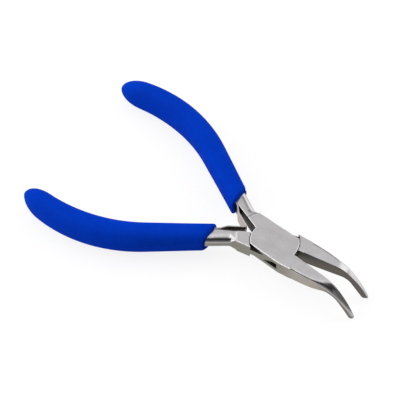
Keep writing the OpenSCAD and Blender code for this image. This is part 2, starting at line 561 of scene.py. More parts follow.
def linear(code: str) -> Colour:
    """Turn an sRGB hex colour to linear RGBA.

    Args:
        code: the colour, such as #c6c3c5.

    Returns:
        The linear colour, opaque.
    """
    parts = [int(code[i:i + 2], 16) / 255 for i in (1, 3, 5)]
    rgb = [part / 12.92 if part <= 0.04045 else ((part + 0.055) / 1.055) ** 2.4 for part in parts]
    return (rgb[0], rgb[1], rgb[2], 1.0)


def add(
    tree: NodeTree, kind: str, sockets: dict[str | int, object] | None = None,
    stops: Sequence[tuple[float, Colour]] = (), **settings: object,
) -> Node:
    """Add a node with its settings, and set or link its inputs.

    Args:
        tree: the node tree.
        kind: the node's type name, without the prefix that all have.
        sockets: for each input, a value or the output socket to link.
        stops: a colour ramp's stops, each with its place and linear colour.
        settings: the node's own properties.

    Returns:
        The node.
    """
    node = tree.nodes.new("ShaderNode" + kind)
    for key, value in settings.items():
        setattr(node, key, value)
    for key, value in (sockets or {}).items():
        if isinstance(value, NodeSocket):
            tree.links.new(value, node.inputs[key])
        else:
            node.inputs[key].default_value = value
    if stops:
        elements = node.color_ramp.elements
        while len(elements) < len(stops):
            elements.new(0.5)
        for element, (place, colour) in zip(elements, stops):
            element.position = place
            element.color = colour
    return node


def fresh(name: str) -> Material:
    """Return a new material with an empty node tree.

    Args:
        name: the finish's name.

    Returns:
        The material.
    """
    material = bpy.data.materials.new(name)
    material.use_nodes = True
    material.node_tree.nodes.clear()
    return material


@dataclass(frozen=True)
class GroundSteel:
    """Tool steel, belt-ground along its length and satin-polished.

    It reads as soft grey metal with fine lines one way, cloudy gloss and clean bright edges. Its
    upright faces take a tone of their own, which paints shade and reflection on them.
    """

    name: str
    light: str = "#c6c3c5"
    dark: str = "#bab6b7"
    # Painted shade and reflection on the upright faces: a tone at each place along the tool in
    # millimetres.
    sides: tuple[tuple[float, str], ...] = ((0.0, "#85827a"),)
    roughness: float = 0.24
    polish: float = 0.03
    turn: float = 0.0
    # The grit leaves lines about 0.05 mm apart, drawn coarser so that they show.
    line_mm: float = 0.2
    line_len_mm: float = 7.0
    line_depth_mm: float = 0.0012
    line_strength: Pair = (0.04, 0.35)
    cloud_mm: float = 5.0
    # Each pattern has finer layers, each as strong as a share of the one before.
    layers: float = 3.0
    line_layer: float = 0.6
    cloud_layer: float = 0.55
    # Where the pattern is dark and light, and where it is glossy and dull.
    tone_span: Pair = (0.36, 0.62)
    gloss_span: Pair = (0.7, 1.3)
    gloss_change: Pair = (-0.03, 0.04)
    # How far normals point up: from upright faces, which take the painted side shade, to sloping faces,
    # and from round edges to flats.
    upright_span: Pair = (0.18, 0.48)
    flat_span: Pair = (0.93, 0.99)

    def material(self) -> Material:
        """Make the finish.

        Returns:
            The material.
        """
        made = fresh(self.name)
        tree = made.node_tree
        place = add(tree, "TexCoord").outputs["Object"]
        along = add(tree, "Mapping", {
            "Vector": place, "Rotation": (0.0, 0.0, math.radians(-self.turn)),
        }).outputs["Vector"]
        across = 1 / (self.line_mm * MM)
        lengthwise = add(tree, "Mapping", {
            "Vector": along, "Scale": (1 / (self.line_len_mm * MM), across, across),
        }).outputs["Vector"]
        lines = add(tree, "TexNoise", {
            "Vector": lengthwise, "Scale": 1.0, "Detail": self.layers, "Roughness": self.line_layer,
        }).outputs["Fac"]
        clouds = add(tree, "TexNoise", {
            "Vector": place, "Scale": 1 / (self.cloud_mm * MM),
            "Detail": self.layers, "Roughness": self.cloud_layer,
        }).outputs["Fac"]
        pattern = add(tree, "Math", {0: lines, 1: clouds}, operation="ADD").outputs[0]
        mean = add(tree, "Math", {0: pattern, 1: 0.5}, operation="MULTIPLY").outputs[0]
        tones = zip(self.tone_span, (linear(self.dark), linear(self.light)))
        ground = add(tree, "ValToRGB", {"Fac": mean}, list(tones)).outputs["Color"]
        # Upright faces take a darker tone than the flats, which changes along the tool: painted shade
        # and reflection that stand in for the shaded table they mirror.
        normal = add(tree, "NewGeometry").outputs["Normal"]
        upward = add(tree, "SeparateXYZ", {"Vector": normal}).outputs["Z"]
        level = add(tree, "Math", {0: upward}, operation="ABSOLUTE").outputs[0]
        sloping = add(tree, "MapRange", {
            "Value": level, "From Min": self.upright_span[0], "From Max": self.upright_span[1],
        }, interpolation_type="SMOOTHSTEP").outputs["Result"]
        tone = add(tree, "Mix", {
            "Factor": sloping, 6: self.painted_side_shade(tree, along), 7: ground,
        }, data_type="RGBA").outputs[2]
        # Round edges are polished after grinding, so they are glossier and the lines fade out there.
        on_edge, on_flat = self.flat_span
        edge = add(tree, "MapRange", {
            "Value": level, "From Min": on_flat, "From Max": on_edge, "To Max": self.polish,
        }).outputs["Result"]
        buffed = add(tree, "Math", {0: edge, 1: sloping}, operation="MULTIPLY").outputs[0]
        glossy, dull = (self.roughness + change for change in self.gloss_change)
        satin = add(tree, "MapRange", {
            "Value": pattern, "From Min": self.gloss_span[0], "From Max": self.gloss_span[1],
            "To Min": glossy, "To Max": dull,
        }).outputs["Result"]
        gloss = add(tree, "Math", {0: satin, 1: buffed}, operation="SUBTRACT").outputs[0]
        strength = add(tree, "MapRange", {
            "Value": level, "From Min": on_edge, "From Max": on_flat,
            "To Min": self.line_strength[0], "To Max": self.line_strength[1],
        }).outputs["Result"]
        bump = add(tree, "Bump", {
            "Height": lines, "Strength": strength, "Distance": self.line_depth_mm * MM,
        }).outputs["Normal"]
        shader = add(tree, "BsdfPrincipled", {
            "Base Color": tone, "Metallic": 1.0, "Roughness": gloss, "Normal": bump,
        }).outputs["BSDF"]
        add(tree, "OutputMaterial", {"Surface": shader})
        return made

    def painted_side_shade(self, tree: NodeTree, along: NodeSocket) -> NodeSocket | Colour:
        """Return the painted shade of the upright faces, a darker tone that stands in for the shaded
        table they reflect.

        Args:
            tree: the node tree.
            along: the place, turned so that X runs along the half.

        Returns:
            One colour, or the socket of a ramp along the half.
        """
        first, last = self.sides[0], self.sides[-1]
        if first == last:
            return linear(first[1])
        x = add(tree, "SeparateXYZ", {"Vector": along}).outputs["X"]
        share = add(tree, "MapRange", {
            "Value": x, "From Min": first[0] * MM, "From Max": last[0] * MM,
        }).outputs["Result"]
        stops = [((at - first[0]) / (last[0] - first[0]), linear(tone)) for at, tone in self.sides]
        return add(tree, "ValToRGB", {"Fac": share}, stops).outputs["Color"]


@dataclass(frozen=True)
class DippedVinyl:
    """Soft PVC, dipped in layers and cured matte.

    It reads as even royal blue with a faint orange peel and a slightly cloudy, powdery surface.
    """

    name: str
    light: str = "#003eca"
    dark: str = "#0039bf"
    roughness: float = 0.7
    ior: float = 1.5
    specular: float = 0.02
    peel_mm: float = 1.1
    peel_depth_mm: float = 0.03
    peel_strength: float = 0.6
    grain_mm: float = 0.3
    grain_share: float = 0.35
    cloud_mm: float = 7.0
    # Each pattern has finer layers, each as strong as a share of the one before.
    layers: float = 2.0
    soft_layer: float = 0.5
    grain_layer: float = 0.6
    # Where the pattern is dark and light, and where the grain is glossy and dull.
    tone_span: Pair = (0.36, 0.64)
    gloss_span: Pair = (0.3, 0.7)
    gloss_change: float = 0.08

    def material(self) -> Material:
        """Make the finish.

        Returns:
            The material.
        """
        made = fresh(self.name)
        tree = made.node_tree
        place = add(tree, "TexCoord").outputs["Object"]
        patterns = (
            (self.peel_mm, self.soft_layer),
            (self.grain_mm, self.grain_layer),
            (self.cloud_mm, self.soft_layer),
        )
        peel, grain, clouds = (
            add(tree, "TexNoise", {
                "Vector": place, "Scale": 1 / (size * MM), "Detail": self.layers, "Roughness": layer,
            }).outputs["Fac"]
            for size, layer in patterns
        )
        mottle = add(tree, "Math", {0: clouds, 1: peel}, operation="ADD").outputs[0]
        mean = add(tree, "Math", {0: mottle, 1: 0.5}, operation="MULTIPLY").outputs[0]
        tones = zip(self.tone_span, (linear(self.dark), linear(self.light)))
        colour = add(tree, "ValToRGB", {"Fac": mean}, list(tones)).outputs["Color"]
        gloss = add(tree, "MapRange", {
            "Value": grain, "From Min": self.gloss_span[0], "From Max": self.gloss_span[1],
            "To Min": self.roughness - self.gloss_change, "To Max": self.roughness + self.gloss_change,
        }).outputs["Result"]
        height = add(tree, "Math", {
            0: grain, 1: self.grain_share, 2: peel,
        }, operation="MULTIPLY_ADD").outputs[0]
        bump = add(tree, "Bump", {
            "Height": height, "Strength": self.peel_strength, "Distance": self.peel_depth_mm * MM,
        }).outputs["Normal"]
        shader = add(tree, "BsdfPrincipled", {
            "Base Color": colour, "Roughness": gloss, "IOR": self.ior, "Normal": bump,
            "Specular IOR Level": self.specular,
        }).outputs["BSDF"]
        add(tree, "OutputMaterial", {"Surface": shader})
        return made


# Sub-assemblies


@dataclass(kw_only=True)
class HandlePiece:
    """A piece that takes its place from the joint and the handle's centre line."""

    joint: JointSizes = JointSizes()
    handle: HandleSizes = HandleSizes()

    @property
    def path(self) -> HandlePath:
        """The handle's centre line."""
        return HandlePath(self.handle, self.joint.half_open)


@dataclass
class ForgedHalf(HandlePiece):
    """One forged half: its part of the joint, its jaw, its tang and the core in the grip."""

    half: Half
    finish: GroundSteel
    edges: GroundSteel
    inside: GroundSteel
    facing: GroundSteel
    jaws: JawSizes = JawSizes()
    corner_steps: int = 9
    arc_steps: int = 24
    # How squarely a face of the jaw or the tang looks at the other half to take the painted shade.
    jaw_facing: float = 0.9
    tang_facing: float = 0.8

    @property
    def crotch(self) -> Vector:
        """The corner where the tang leaves the joint, on the inner side."""
        return Vector((-self.joint.cheek_r - self.handle.crotch_set, self.handle.crotch_gap))

    @property
    def block_in(self) -> Vector:
        """The inner end of the thick block."""
        return ahead(self.crotch, self.handle.tang_in_angle, self.handle.block_in_len)

    @property
    def block_corner(self) -> Vector:
        """The outer corner of the thick block."""
        return Vector((-self.handle.block_x, self.joint.half_w - self.handle.block_taper))

    @property
    def shoulder_foot(self) -> Vector:
        """Where the tang's outer side leaves the block."""
        return self.block_corner - Vector((self.handle.shoulder_lean, self.handle.shoulder))

    def jaw_width(self, x: float) -> float:
        """Measure the jaw's outer side from the centre line, its corners blended.

        Args:
            x: the place along the tool.

        Returns:
            The distance there.
        """
        jaws = self.jaws
        side_end, tip_x = self.joint.side_x + jaws.side_run, jaws.reach + jaws.tip_past
        taper = (jaws.bend_w - jaws.tip_w) / (tip_x - jaws.neck_x)
        marks = [
            (side_end - jaws.lead, self.joint.half_w),
            (side_end, self.joint.half_w),
            ((self.joint.cheek_r + jaws.bend_x) / 2, jaws.mid_w),
            (jaws.neck_x, jaws.bend_w),
            (tip_x, jaws.tip_w),
            (tip_x + jaws.lead, jaws.tip_w - jaws.lead * taper),
        ]

        def straight(at: float) -> float:
            """Measure the outer side before its corners are blended.

            Args:
                at: the place along the tool.

            Returns:
                The distance there.
            """
            for (x0, w0), (x1, w1) in zip(marks, marks[1:]):
                if at <= x1:
                    return w0 + (w1 - w0) * (at - x0) / (x1 - x0)
            return marks[-1][1]

        near = [jaws.blend * (2 * i / jaws.blend_steps - 1) for i in range(jaws.blend_steps + 1)]
        return sum(straight(x + offset) for offset in near) / len(near)

    def block_round(self) -> Ring:
        """Round the outer corner of the block.

        Returns:
            The points from the joint's side to the block's end.
        """
        side_end = Vector((-self.joint.side_x, self.joint.half_w))
        corner, radius = self.block_corner, self.handle.block_round
        before = (side_end - corner).normalized()
        after = (self.block_in - corner).normalized()
        middle = (before + after).normalized()
        half_angle = before.angle(after) / 2
        centre = corner + middle * radius / math.sin(half_angle)
        reach = radius / math.tan(half_angle)
        start = math.degrees(math.atan2(*reversed(corner + before * reach - centre)))
        end = math.degrees(math.atan2(*reversed(corner + after * reach - centre)))
        return arc(centre, radius, start, end if end > start else end + 360, self.corner_steps)

    def plan(self) -> Ring:
        """Outline the joint, block and jaw root, seen from above with the jaws closed.

        Returns:
            The outline's points.
        """
        joint, jaws = self.joint, self.jaws
        radius = joint.cheek_r if self.half is Half.BOX else joint.tongue_r
        middle = Vector((0.0, 0.0))
        low = -jaws.gap / 2
        flat = math.degrees(math.asin(joint.half_w / radius))
        inner = math.degrees(math.asin(low / radius))
        inward = (self.crotch - self.block_in).normalized()
        along = self.crotch.dot(inward)
        root = self.crotch + inward * (
            -along - math.sqrt(along**2 - self.crotch.length_squared + radius**2)
        )
        root_angle = math.degrees(math.atan2(root[1], root[0]))
        return [
            *arc(middle, radius, inner, flat, self.arc_steps),
            *self.block_round(),
            self.block_in,
            self.crotch,
            *arc(middle, radius, root_angle, 180 + flat, self.arc_steps),
            Vector((joint.side_x + jaws.side_run, -joint.half_w)),
            Vector((jaws.root_x, -self.jaw_width(jaws.root_x))),
            Vector((jaws.root_x, low)),
        ]

    def joint_block(self) -> BMesh:
        """Raise the plan to a solid and round its upper and lower edges.

        Returns:
            The solid, its end faces left square for the jaw and the tang.
        """
        bm = bmesh.new()
        low, high = -self.joint.half_t, self.joint.half_t
        plan = self.plan()
        made = bmesh.ops.create_circle(bm, cap_ends=True, segments=len(plan), radius=1.0)
        for vert, point in zip(made["verts"], plan):
            vert.co = (point[0], point[1], low)
        grown = bmesh.ops.extrude_face_region(bm, geom=bm.faces[:], use_keep_orig=True)
        tops = [item for item in grown["geom"] if isinstance(item, BMVert)]
        bmesh.ops.translate(bm, vec=(0, 0, high - low), verts=tops)
        bmesh.ops.recalc_face_normals(bm, faces=bm.faces)
        ends = {self.end_face(bm, *self.jaw_end()), self.end_face(bm, *self.block_end())}
        edges = [
            edge for edge in bm.edges
            if abs(edge.verts[0].co.z - edge.verts[1].co.z) < LEVEL
            and not ends.intersection(edge.link_faces)
        ]
        broken = bmesh.ops.bevel(
            bm, geom=edges, offset=self.joint.edge_r, offset_type="OFFSET", segments=self.corner_steps,
            profile=0.5, affect="EDGES", material=-1, clamp_overlap=True, loop_slide=True,
        )["faces"]
        # The broken edges take the near-white finish: polish, with a painted highlight on top.
        for face in broken:
            face.material_index = EDGE_SLOT
        return bm

    def jaw_end(self) -> tuple[Vector, Vector]:
        """Return the middle and the outward direction of the jaw root's end face."""
        x = self.jaws.root_x
        return Vector((x, -self.jaw_width(x) / 2, 0)), Vector((1, 0, 0))

    def block_end(self) -> tuple[Vector, Vector]:
        """Place the block's end face.

        Returns:
            Its middle and its outward direction.
        """
        outer = self.block_round()[-1]
        middle = (outer + self.block_in) / 2
        across = (outer - self.block_in).normalized()
        return middle.to_3d(), Vector((-across[1], across[0], 0))

    @staticmethod
    def end_face(bm: BMesh, middle: Vector, out: Vector) -> BMFace:
        """Return the face that looks outward at that place.

        Args:
            bm: the mesh.
            middle: where the face's middle is.
            out: the way that it faces.

        Returns:
            The closest such face.
        """
        bm.normal_update()
        facing = [face for face in bm.faces if face.normal.dot(out) > ALIGNED]
        return min(facing, key=lambda face: (face.calc_center_median() - middle).length)

    def jaw_ring(self, back: Vector, under: Vector, shrink: float) -> Ring:
        """Return one ring of the jaw.

        Args:
            back: the back's x and z, seen from the side.
            under: the underside's x and z.
            shrink: the share of the section that is left, 1 but at the tip.

        Returns:
            The ring's points.
        """
        jaws, edge = self.jaws, self.joint.edge_r
        height = (back - under).length
        width = self.jaw_width((back[0] + under[0]) / 2) - jaws.gap / 2
        soft = Vector((jaws.soft_across, jaws.soft_up))
        full = Vector((jaws.round_across * width, jaws.round_up * height))
        bold = Vector((edge, edge)).lerp(soft, ease(back[0], jaws.root_x, jaws.soft_to))
        bold = bold.lerp(full, ease(back[0], jaws.round_from, jaws.round_to))
        fine = (min(edge, jaws.inner_share * width),) * 2
        ring = rounded_ring(width, height, (fine, bold, bold, fine), self.corner_steps)
        middle = Vector((width / 2, height / 2))
        points: Ring = []
        for raw in ring:
            across, up = middle + (raw - middle) * shrink
            x, z = under + (back - under) * up / height
            share = (self.jaw_width(x) - jaws.gap / 2) / width
            points.append(Vector((x, -jaws.gap / 2 - across * share, z)))
        return points

    def jaw_sides(self) -> list[tuple[Vector, Vector]]:
        """Draw the jaw seen from the side.

        Returns:
            Points of the back and the underside, in pairs from the root to the tip.
        """
        jaws, top = self.jaws, self.joint.half_t
        slope = math.atan2(jaws.back_drop, jaws.bend_x - jaws.root_x)
        bend = math.radians(jaws.bend_angle)
        bend_start = Vector((jaws.bend_x, top - jaws.back_drop))
        bend_end = bend_start + jaws.bend_r * (unit(bend) - unit(slope))
        droop = math.asin(math.sin(bend) + (jaws.reach - bend_end[0]) / jaws.nose_r)
        tip_back = bend_end + jaws.nose_r * (unit(droop) - unit(bend))
        tip_under = tip_back - jaws.tip_t * unit(droop)
        centre = Vector((jaws.bend_x + jaws.under_lag, top - jaws.nose_h - jaws.under_r))
        to_tip = tip_under - centre
        turn = math.atan2(to_tip[0], to_tip[1]) - math.acos(jaws.under_r / to_tip.length)
        under_end = centre + jaws.under_r * unit(turn)
        rise = (top + centre[1] + jaws.under_r) / (centre[0] - jaws.relief_x)

        def under_z(x: float) -> float:
            """Return the straight underside's height at x."""
            return -top + max(0.0, x - jaws.relief_x) * rise

        def back_at(run: float) -> Vector:
            """Find a point of the back.

            Args:
                run: the distance past the start of the bend.

            Returns:
                Its x and z.
            """
            first = jaws.bend_r * (bend - slope)
            if run < first:
                return bend_start + jaws.bend_r * (unit(slope + run / jaws.bend_r) - unit(slope))
            return bend_end + jaws.nose_r * (unit(bend + (run - first) / jaws.nose_r) - unit(bend))

        def under_at(run: float) -> Vector:
            """Find a point of the underside.

            Args:
                run: the distance past the start of the bend.

            Returns:
                Its x and z.
            """
            if run < jaws.under_lag:
                return Vector((jaws.bend_x + run, under_z(jaws.bend_x + run)))
            angle = (run - jaws.under_lag) / jaws.under_r
            if angle < turn:
                return centre + jaws.under_r * unit(angle)
            left = (tip_under - under_end).length
            return under_end.lerp(tip_under, (angle - turn) * jaws.under_r / left)

        pairs: list[tuple[Vector, Vector]] = []
        for i in range(jaws.straight_rings):
            share = i / jaws.straight_rings
            x = jaws.root_x + (jaws.bend_x - jaws.root_x) * share
            pairs.append((Vector((x, top - jaws.back_drop * share)), Vector((x, under_z(x)))))
        back_len = jaws.bend_r * (bend - slope) + jaws.nose_r * (droop - bend)
        under_len = jaws.under_lag + jaws.under_r * turn + (tip_under - under_end).length
        end = jaws.tip_round / back_len
        shares = [i / jaws.nose_rings for i in range(jaws.nose_rings) if i / jaws.nose_rings < 1 - end]
        shares += [
            1 - end * (1 - math.sin(math.radians(jaws.tip_step * i))) for i in range(jaws.tip_rings)
        ]
        return pairs + [(back_at(share * back_len), under_at(share * under_len)) for share in shares]

    def jaw_rings(self) -> list[Ring]:
        """Draw the jaw.

        Returns:
            Its rings from the root to the rounded tip.
        """
        jaws, pairs = self.jaws, self.jaw_sides()
        rings: list[Ring] = []
        for i, (back, under) in enumerate(pairs):
            angle = jaws.tip_step * max(0, i - len(pairs) + jaws.tip_rings)
            shrink = jaws.tip_left + (1 - jaws.tip_left) * math.cos(math.radians(angle))
            rings.append(self.jaw_ring(back, under, shrink))
        return rings

    def tang_ring(self, inner: Vector, outer: Vector, height: float, radius: float) -> Ring:
        """Return one ring of the tang or core.

        Args:
            inner: its inner edge, seen from above.
            outer: its outer edge.
            height: its height.
            radius: the radius of the outer corners, if the section has room for it.

        Returns:
            The ring's points.
        """
        handle, width = self.handle, (outer - inner).length
        across = min(handle.round_stretch * radius, handle.most_across * width)
        bold = (across, min(radius, handle.most_up * height))
        fine = (self.joint.edge_r, self.joint.edge_r)
        ring = rounded_ring(width, height, (fine, bold, bold, fine), self.corner_steps)
        return [
            inner.lerp(outer, point[0] / width).to_3d() + Vector((0, 0, point[1] - height / 2))
            for point in ring
        ]

    def tang_radius(self, along: float) -> float:
        """Return the radius of the tang's outer corners at a distance from the block."""
        edge, full = self.joint.edge_r, self.handle.tang_round
        return edge + (full - edge) * ease(along, 0.0, self.handle.round_len)

    def tang_rings(self) -> list[Ring]:
        """Draw the cove, the tang and the core.

        Returns:
            Their rings from the block's end to the end of the core.
        """
        handle, path = self.handle, self.path
        block_h = self.joint.thickness
        core_h = block_h - 2 * handle.core_step
        in_end = meeting(self.crotch, handle.tang_in_angle, path.core_inner(0), path.core_in_angle)
        in_way = (in_end - self.block_in).normalized()
        outer_end = path.core_outer(0)
        out_way = (outer_end - self.shoulder_foot).normalized()
        first_outer = self.block_round()[-1]
        rings = [self.tang_ring(self.block_in, first_outer, block_h, self.joint.edge_r)]
        proud = first_outer - self.shoulder_foot
        for share in steps_of(handle.cove_rings):
            angle = math.radians(90 * share)
            along, left = handle.cove_len * (1 - math.cos(angle)), 1 - math.sin(angle)
            rings.append(self.tang_ring(
                self.block_in + in_way * along,
                self.shoulder_foot + out_way * along + proud * left,
                core_h + (block_h - core_h) * left,
                self.tang_radius(along),
            ))
        cove_in = self.block_in + in_way * handle.cove_len
        cove_out = self.shoulder_foot + out_way * handle.cove_len
        for share in steps_of(handle.tang_rings):
            outer = cove_out.lerp(outer_end, share)
            radius = self.tang_radius(handle.cove_len + (outer - cove_out).length)
            rings.append(self.tang_ring(cove_in.lerp(in_end, share), outer, core_h, radius))
        for share in steps_of(handle.core_rings):
            run = path.core_len * share
            inner, outer = path.core_inner(run), path.core_outer(run)
            rings.append(self.tang_ring(inner, outer, core_h, handle.tang_round))
        return rings

    def cutters(self) -> list[Object]:
        """Make the solids that cut this half's part of the joint.

        Returns:
            The solids, on the pivot axis.
        """
        joint = self.joint
        if self.half is Half.BOX:
            slot = joint.tongue_t / 2 + joint.tongue_clear
            seat = joint.rivet_d / 2 + joint.rivet_seam
            rim = joint.head_d / 2 + joint.rivet_seam
            slope = (rim - seat) / joint.head_depth
            spare = 1.0
            wide, low, high = rim + slope * spare, joint.half_t - joint.head_depth, joint.half_t + spare
            return [
                drum("slot", (joint.tongue_r + joint.end_clear,) * 2, -slot, slot),
                drum("hole", (seat, seat), -joint.thickness, joint.thickness),
                drum("sink_top", (seat, wide), low, high),
                drum("sink_low", (wide, seat), -high, -low),
            ]
        clear = joint.cheek_r + joint.end_clear
        hole = joint.rivet_d / 2 + joint.rivet_clear
        return [
            drum("over", (clear, clear), joint.tongue_t / 2, joint.thickness),
            drum("below", (clear, clear), -joint.thickness, -joint.tongue_t / 2),
            drum("hole", (hole, hole), -joint.thickness, joint.thickness),
        ]

    def build(self) -> Object:
        """Build and dress the half.

        Returns:
            The piece, riding on its body.
        """
        bm = self.joint_block()
        pull(bm, self.end_face(bm, *self.jaw_end()), self.jaw_rings())
        pull(bm, self.end_face(bm, *self.block_end()), self.tang_rings())
        bmesh.ops.remove_doubles(bm, verts=bm.verts, dist=WELD)
        bmesh.ops.recalc_face_normals(bm, faces=bm.faces)
        obj = piece(bm, self.half.node + "_forging")
        outside = [self.finish.material(), self.edges.material()]
        carve(obj, self.cutters(), outside, self.inside.material())
        self.face(obj)
        to_rest(obj, self.half, self.joint)
        smooth(obj)
        # The large flats keep their own normals up to their rounded edges.
        flats = obj.modifiers.new("flats", "WEIGHTED_NORMAL")
        flats.keep_sharp = True
        return dress(obj, self.half.body, self.half.node)

    def face(self, obj: Object) -> None:
        """Paint shade on the faces that look across at the other half: a dark finish on the jaw's, and
        the darkest one, also used in the cuts, on the tang's.

        Args:
            obj: the half, still drawn closed, with its outside finishes and then the inside one.
        """
        inside = len(obj.data.materials) - 1
        obj.data.materials.append(self.facing.material())
        near = self.joint.cheek_r * MM
        for polygon in obj.data.polygons:
            x, across = polygon.center[0], polygon.normal[1]
            if x > near and across > self.jaw_facing:
                polygon.material_index = inside + 1
            elif x < -near and across < -self.tang_facing:
                polygon.material_index = inside


def rest_matrix(half: Half, joint: JointSizes, scale: float) -> Matrix:
    """Return the turn from the closed drawing to the rest opening.

    Args:
        half: which half.
        joint: the joint's sizes.
        scale: the length of a millimetre in the drawing's unit.

    Returns:
        The matrix.
    """
    mirror = Matrix.Diagonal((1, -half.turn, 1, 1))
    turn = Matrix.Rotation(math.radians(half.turn * joint.half_open), 4, "Z")
    return Matrix.Translation((0, 0, joint.half_t * scale)) @ turn @ mirror


def to_rest(obj: Object, half: Half, joint: JointSizes) -> None:
    """Turn a half drawn closed to its rest opening, within its mesh.

    Args:
        obj: the half's object.
        half: which half.
        joint: the joint's sizes.
    """
    bm = bmesh.new()
    bm.from_mesh(obj.data)
    bmesh.ops.transform(bm, matrix=rest_matrix(half, joint, MM), verts=bm.verts)
    bmesh.ops.recalc_face_normals(bm, faces=bm.faces)
    bm.to_mesh(obj.data)
    bm.free()


def dress(obj: Object, body: str, node: str) -> Object:
    """Give a piece its body and hide the node that it stands for.

    Args:
        obj: the piece, with its material.
        body: the body that it rides on.
        node: the node that it replaces.

    Returns:
        The piece.
    """
    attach(obj, body)
    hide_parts(node)
    return obj


@dataclass
class DippedGrip(HandlePiece):
    """One dipped grip: a soft tapering coat with a round end and a rounded front lip."""

    half: Half
    finish: DippedVinyl
    width: float = 8.2
    height: float = 10.1
    swell: float = 1.4
    fullness_power: float = 1.34
    round_len: float = 9.5
    squareness: float = 0.72
    lip_r: float = 1.3
    seam: float = 0.12
    spring_t: float = 0.52
    sides: int = 40
    stations: int = 54
    lip_steps: int = 5
    core_steps: int = 14
    shear_len: float = 12.0
    end_gap: float = 0.06
    mouth: float = 0.5
    crease: float = 50.0

    def half_sizes(self, run: float) -> tuple[float, float]:
        """Measure the coat's outside.

        Args:
            run: the distance past the dip line.

        Returns:
            Half of the width and of the height there.
        """
        share = clamp(run / self.path.length)
        change = self.swell * math.sin(math.pi * share**self.fullness_power)
        end = max(0.0, (run - self.path.length + self.round_len) / self.round_len)
        close = math.sqrt(max(0.0, 1 - end * end))
        return (self.width + change) / 2 * close, (self.height + change) / 2 * close

    def soft(self, value: float) -> float:
        """Return a sine or cosine drawn out towards a square."""
        return math.copysign(abs(value) ** self.squareness, value)

    def ring(self, run: float, inset: float, sizes: Pair | None = None, shift: float = 0.0) -> Ring:
        """Return one ring of the coat, sheared near the front so that the lip lies square to the tool.

        Args:
            run: the distance past the dip line.
            inset: how far the ring lies inside the coat's outside.
            sizes: half of the width and height, where they aren't the coat's.
            shift: how far the ring's middle lies to the outer side.

        Returns:
            The ring's points.
        """
        wide, high = sizes or self.half_sizes(max(run, 0.0))
        lean = math.tan(math.radians(self.handle.handle_angle + self.joint.half_open))
        keep = 1 - ease(run, 0.0, self.shear_len)
        points: Ring = []
        for i in range(self.sides):
            angle = 2 * math.pi * i / self.sides
            across = shift + (wide - inset) * self.soft(math.cos(angle))
            place = self.path.side(run + across * lean * keep, across)
            points.append(Vector((place[0], place[1], (high - inset) * self.soft(math.sin(angle)))))
        return points

    def rings(self) -> list[Ring]:
        """Draw the coat.

        Returns:
            Its rings from the tail over the outside to the lip, then back along the core.
        """
        rings: list[Ring] = []
        last = self.path.length - self.end_gap
        for i in range(self.stations + 1):
            run = self.lip_r + (last - self.lip_r) * math.sin(math.pi / 2 * (1 - i / self.stations))
            rings.append(self.ring(run, 0.0))
        for share in steps_of(self.lip_steps):
            angle = math.radians(90 * share)
            run, inset = self.lip_r * (1 - math.sin(angle)), self.lip_r * (1 - math.cos(angle))
            rings.append(self.ring(run, inset))
        wide = (self.handle.core_w + self.spring_t) / 2 + self.seam
        high = self.joint.half_t - self.handle.core_step + self.seam
        middle = self.handle.core_shift - self.spring_t / 2
        rings.append(self.ring(0.0, 0.0, (wide + self.mouth, high + self.mouth), middle))
        for share in (0.0, *steps_of(self.core_steps)):
            run = self.path.core_len * share
            rings.append(self.ring(run, 0.0, (wide - self.path.core_loss(run), high), middle))
        return rings

    def build(self) -> Object:
        """Build and dress the grip.

        Returns:
            The piece, riding on its body.
        """
        bm = tube(self.rings())
        bmesh.ops.transform(bm, matrix=rest_matrix(self.half, self.joint, 1.0), verts=bm.verts)
        bmesh.ops.recalc_face_normals(bm, faces=bm.faces)
        node = self.half.node + "_grip"
        obj = piece(bm, node + "_coat", self.crease)
        obj.data.materials.append(self.finish.material())
        return dress(obj, self.half.body, node)


